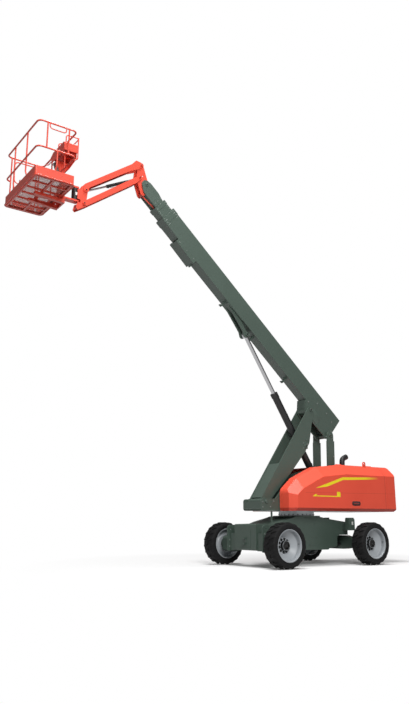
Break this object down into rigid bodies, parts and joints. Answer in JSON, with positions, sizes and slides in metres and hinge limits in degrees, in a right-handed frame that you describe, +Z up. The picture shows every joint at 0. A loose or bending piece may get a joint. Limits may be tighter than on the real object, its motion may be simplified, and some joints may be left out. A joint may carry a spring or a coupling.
{
  "type": "telescopic boom lift",
  "caption": "Self-propelled telescopic boom lift on four wheels, with a slewing body, folding lower arm, jib and railed work platform.",
  "frame": {"origin": "on the floor under the slewing axis, between the axles", "axes": "+Z up; -Y the way the boom points; +Y towards the counterweight; +X to the machine's left"},
  "size_m": [2.49, 9.799, 8.752],
  "materials": {
    "green_paint": "satin",
    "dark_green_paint": "satin",
    "orange_paint": "satin",
    "hood_paint": "gloss",
    "tyre_rubber": "matte",
    "rim_paint": "satin",
    "black_metal": "satin",
    "rod_chrome": "polished",
    "bare_steel": "satin",
    "floor_mesh": "satin",
    "grey_plastic": "satin",
    "engine_iron": "matte"
  },
  "bodies": {
    "chassis": {"chassis_frame": "dark_green_paint", "front_axle": "dark_green_paint", "rear_axle": "dark_green_paint", "steering_cylinder": "black_metal", "slew_ring": "bare_steel", "turntable_lock": "dark_green_paint"},
    "wheel_front_left": {"tyre_front_left": "tyre_rubber", "rim_front_left": "rim_paint"},
    "wheel_front_right": {"tyre_front_right": "tyre_rubber", "rim_front_right": "rim_paint"},
    "wheel_rear_left": {"tyre_rear_left": "tyre_rubber", "rim_rear_left": "rim_paint"},
    "wheel_rear_right": {"tyre_rear_right": "tyre_rubber", "rim_rear_right": "rim_paint"},
    "knuckle_left": {"steering_knuckle_left": "dark_green_paint"},
    "knuckle_right": {"steering_knuckle_right": "dark_green_paint"},
    "turntable": {"turntable_frame": "green_paint", "counterweight": "hood_paint", "engine_block": "engine_iron", "hood_inner_strips": "hood_paint", "exhaust_pipe": "black_metal"},
    "hood_left": {"hood_left": "hood_paint"},
    "hood_right": {"hood_right": "hood_paint"},
    "lower_arm": {"lower_arm": "green_paint"},
    "boom_pivot_pin": {"boom_pivot_pin": "green_paint"},
    "trunnion_pins": {"trunnion_pins": "bare_steel"},
    "lift_barrel": {"lift_barrel": "black_metal"},
    "lift_rod": {"lift_rod": "rod_chrome"},
    "lift_rod_head": {"lift_rod_head": "rod_chrome"},
    "rear_link_pin": {"rear_link_pin": "bare_steel"},
    "rear_links": {"rear_links": "green_paint"},
    "boom_outer": {"boom_outer_section": "green_paint", "boom_tail_plates": "green_paint", "lift_bracket": "green_paint", "hose_tray": "green_paint"},
    "boom_middle": {"boom_middle_section": "green_paint"},
    "boom_tip": {"boom_tip_section": "green_paint", "level_cylinder": "black_metal"},
    "head_pin": {"head_pin": "bare_steel"},
    "level_rod": {"level_rod": "orange_paint"},
    "jib_bracket": {"jib_bracket": "orange_paint"},
    "jib_arm": {"jib_arm": "orange_paint"},
    "jib_link": {"jib_link_rod": "orange_paint"},
    "jib_barrel": {"jib_barrel": "black_metal"},
    "jib_rod": {"jib_rod": "rod_chrome"},
    "yoke": {"platform_yoke": "orange_paint", "rotator_body": "black_metal"},
    "platform": {"platform_support": "orange_paint", "platform_floor_frame": "orange_paint", "platform_floor": "floor_mesh", "guard_rails": "orange_paint", "toe_boards": "orange_paint", "control_console": "orange_paint", "console_box": "grey_plastic"},
    "entry_gate": {"entry_gate": "orange_paint"}
  },
  "joints": [
    {"name": "slew", "type": "hinge", "parent": "chassis", "child": "turntable", "pos_m": [0, 0, 1.19], "axis": [0, 0, 1], "continuous": true},
    {"name": "spin_front_left", "type": "hinge", "parent": "chassis", "child": "wheel_front_left", "pos_m": [1.0705, -1.327, 0.472], "axis": [1, 0, 0], "continuous": true},
    {"name": "steer_left", "type": "hinge", "parent": "chassis", "child": "knuckle_left", "pos_m": [0.812, 1.29, 0.472], "axis": [0, 0, 1], "range_deg": [-25, 25]},
    {"name": "spin_rear_left", "type": "hinge", "parent": "knuckle_left", "child": "wheel_rear_left", "pos_m": [1.0705, 1.29, 0.472], "axis": [1, 0, 0], "continuous": true},
    {"name": "spin_front_right", "type": "hinge", "parent": "chassis", "child": "wheel_front_right", "pos_m": [-1.0705, -1.327, 0.472], "axis": [1, 0, 0], "continuous": true},
    {"name": "steer_right", "type": "hinge", "parent": "chassis", "child": "knuckle_right", "pos_m": [-0.812, 1.29, 0.472], "axis": [0, 0, 1], "range_deg": [-25, 25]},
    {"name": "spin_rear_right", "type": "hinge", "parent": "knuckle_right", "child": "wheel_rear_right", "pos_m": [-1.0705, 1.29, 0.472], "axis": [1, 0, 0], "continuous": true},
    {"name": "hood_left_lift", "type": "hinge", "parent": "turntable", "child": "hood_left", "pos_m": [0.458, 1, 2.287], "axis": [0, -1, 0], "range_deg": [0, 60]},
    {"name": "hood_right_lift", "type": "hinge", "parent": "turntable", "child": "hood_right", "pos_m": [-0.458, 1, 2.287], "axis": [0, 1, 0], "range_deg": [0, 60]},
    {"name": "lower_arm_lift", "type": "hinge", "parent": "turntable", "child": "lower_arm", "pos_m": [0, -1.164, 1.391], "axis": [1, 0, 0], "range_deg": [-34.51, 0]},
    {"name": "boom_pin_turn", "type": "hinge", "parent": "lower_arm", "child": "boom_pivot_pin", "pos_m": [0, 0.4, 3.6], "axis": [1, 0, 0], "range_deg": [-0.5, 76.32]},
    {"name": "trunnion_turn", "type": "hinge", "parent": "lower_arm", "child": "trunnion_pins", "pos_m": [0, 0.185, 2.7], "axis": [1, 0, 0], "range_deg": [-0.5, 72.8]},
    {"name": "boom_lift", "type": "hinge", "parent": "boom_pivot_pin", "child": "boom_outer", "pos_m": [0, 0.4, 3.6], "axis": [-1, 0, 0], "range_deg": [0, 30]},
    {"name": "barrel_turn", "type": "hinge", "parent": "trunnion_pins", "child": "lift_barrel", "pos_m": [0, 0.185, 2.7], "axis": [-1, 0, 0], "range_deg": [-0.5, 23.36]},
    {"name": "lift_rod_slide", "type": "slide", "parent": "lift_barrel", "child": "lift_rod", "axis": [0, -0.542, 0.8404], "range_m": [-1.1301, 0.002]},
    {"name": "rod_head_slide", "type": "slide", "parent": "lift_rod", "child": "lift_rod_head", "axis": [0, -0.542, 0.8404], "range_m": [-0.002, 0.2758]},
    {"name": "link_pin_turn", "type": "hinge", "parent": "boom_outer", "child": "rear_link_pin", "pos_m": [0, 0.975, 3.01], "axis": [1, 0, 0], "range_deg": [-101.92, 0.5]},
    {"name": "rear_links_turn", "type": "hinge", "parent": "rear_link_pin", "child": "rear_links", "pos_m": [0, 0.975, 3.01], "axis": [1, 0, 0], "range_deg": [-0.5, 47.3]},
    {"name": "telescope", "type": "slide", "parent": "boom_outer", "child": "boom_middle", "axis": [0, -0.7513, 0.66], "range_m": [0, 4.8]},
    {"name": "telescope_tip", "type": "slide", "parent": "boom_middle", "child": "boom_tip", "axis": [0, -0.7513, 0.66], "range_m": [-0.002, 4.802]},
    {"name": "head_pin_turn", "type": "hinge", "parent": "boom_tip", "child": "head_pin", "pos_m": [0, -4.27, 8.24], "axis": [1, 0, 0], "range_deg": [-41.81, 0.5]},
    {"name": "level_rod_slide", "type": "slide", "parent": "boom_tip", "child": "level_rod", "axis": [0, -0.8356, 0.5494], "range_m": [-0.002, 0.1719]},
    {"name": "bracket_level", "type": "hinge", "parent": "head_pin", "child": "jib_bracket", "pos_m": [0, -4.27, 8.24], "axis": [1, 0, 0], "range_deg": [-0.5, 30.5]},
    {"name": "jib_lift", "type": "hinge", "parent": "jib_bracket", "child": "jib_arm", "pos_m": [0, -4.416, 8.68], "axis": [-1, 0, 0], "range_deg": [-23, 107]},
    {"name": "jib_link_turn", "type": "hinge", "parent": "jib_bracket", "child": "jib_link", "pos_m": [0, -4.445, 8.371], "axis": [-1, 0, 0], "range_deg": [-23.5, 107.5]},
    {"name": "jib_barrel_turn", "type": "hinge", "parent": "jib_bracket", "child": "jib_barrel", "pos_m": [0, -4.445, 8.371], "axis": [-1, 0, 0], "range_deg": [-22.81, 104.29]},
    {"name": "jib_rod_slide", "type": "slide", "parent": "jib_barrel", "child": "jib_rod", "axis": [0, -0.8832, -0.469], "range_m": [-0.1024, 0.4689]},
    {"name": "yoke_level", "type": "hinge", "parent": "jib_arm", "child": "yoke", "pos_m": [0, -5.718, 7.695], "axis": [-1, 0, 0], "range_deg": [-107.5, 23.5]},
    {"name": "platform_rotate", "type": "hinge", "parent": "yoke", "child": "platform", "pos_m": [0, -5.925, 7.565], "axis": [0, 0, 1], "range_deg": [-90, 90]},
    {"name": "gate_swing", "type": "hinge", "parent": "platform", "child": "entry_gate", "pos_m": [-0.862, -6.459, 7.85], "axis": [0, 0, 1], "range_deg": [0, 90]}
  ],
  "couplings": [
    {"joint": "steer_right", "follows": "steer_left", "ratio": 1},
    {"joint": "boom_pin_turn", "follows": "lower_arm_lift", "ratio": -2.197},
    {"joint": "trunnion_turn", "follows": "lower_arm_lift", "ratio": -2.095},
    {"joint": "barrel_turn", "follows": "boom_lift", "ratio": 0.762},
    {"joint": "lift_rod_slide", "follows": "lower_arm_lift", "m_per_rad": 1.873},
    {"joint": "rod_head_slide", "follows": "boom_lift", "m_per_rad": 0.523},
    {"joint": "link_pin_turn", "follows": "lower_arm_lift", "ratio": 2.939},
    {"joint": "rear_links_turn", "follows": "boom_lift", "ratio": 1.56},
    {"joint": "telescope_tip", "follows": "telescope", "ratio": 1},
    {"joint": "head_pin_turn", "follows": "lower_arm_lift", "ratio": 1.197},
    {"joint": "level_rod_slide", "follows": "lower_arm_lift", "m_per_rad": -0.282},
    {"joint": "bracket_level", "follows": "boom_lift", "ratio": 1},
    {"joint": "jib_link_turn", "follows": "jib_lift", "ratio": 1},
    {"joint": "jib_barrel_turn", "follows": "jib_lift", "ratio": 0.97},
    {"joint": "jib_rod_slide", "follows": "jib_lift", "m_per_rad": 0.25},
    {"joint": "yoke_level", "follows": "jib_lift", "ratio": -1}
  ]
}
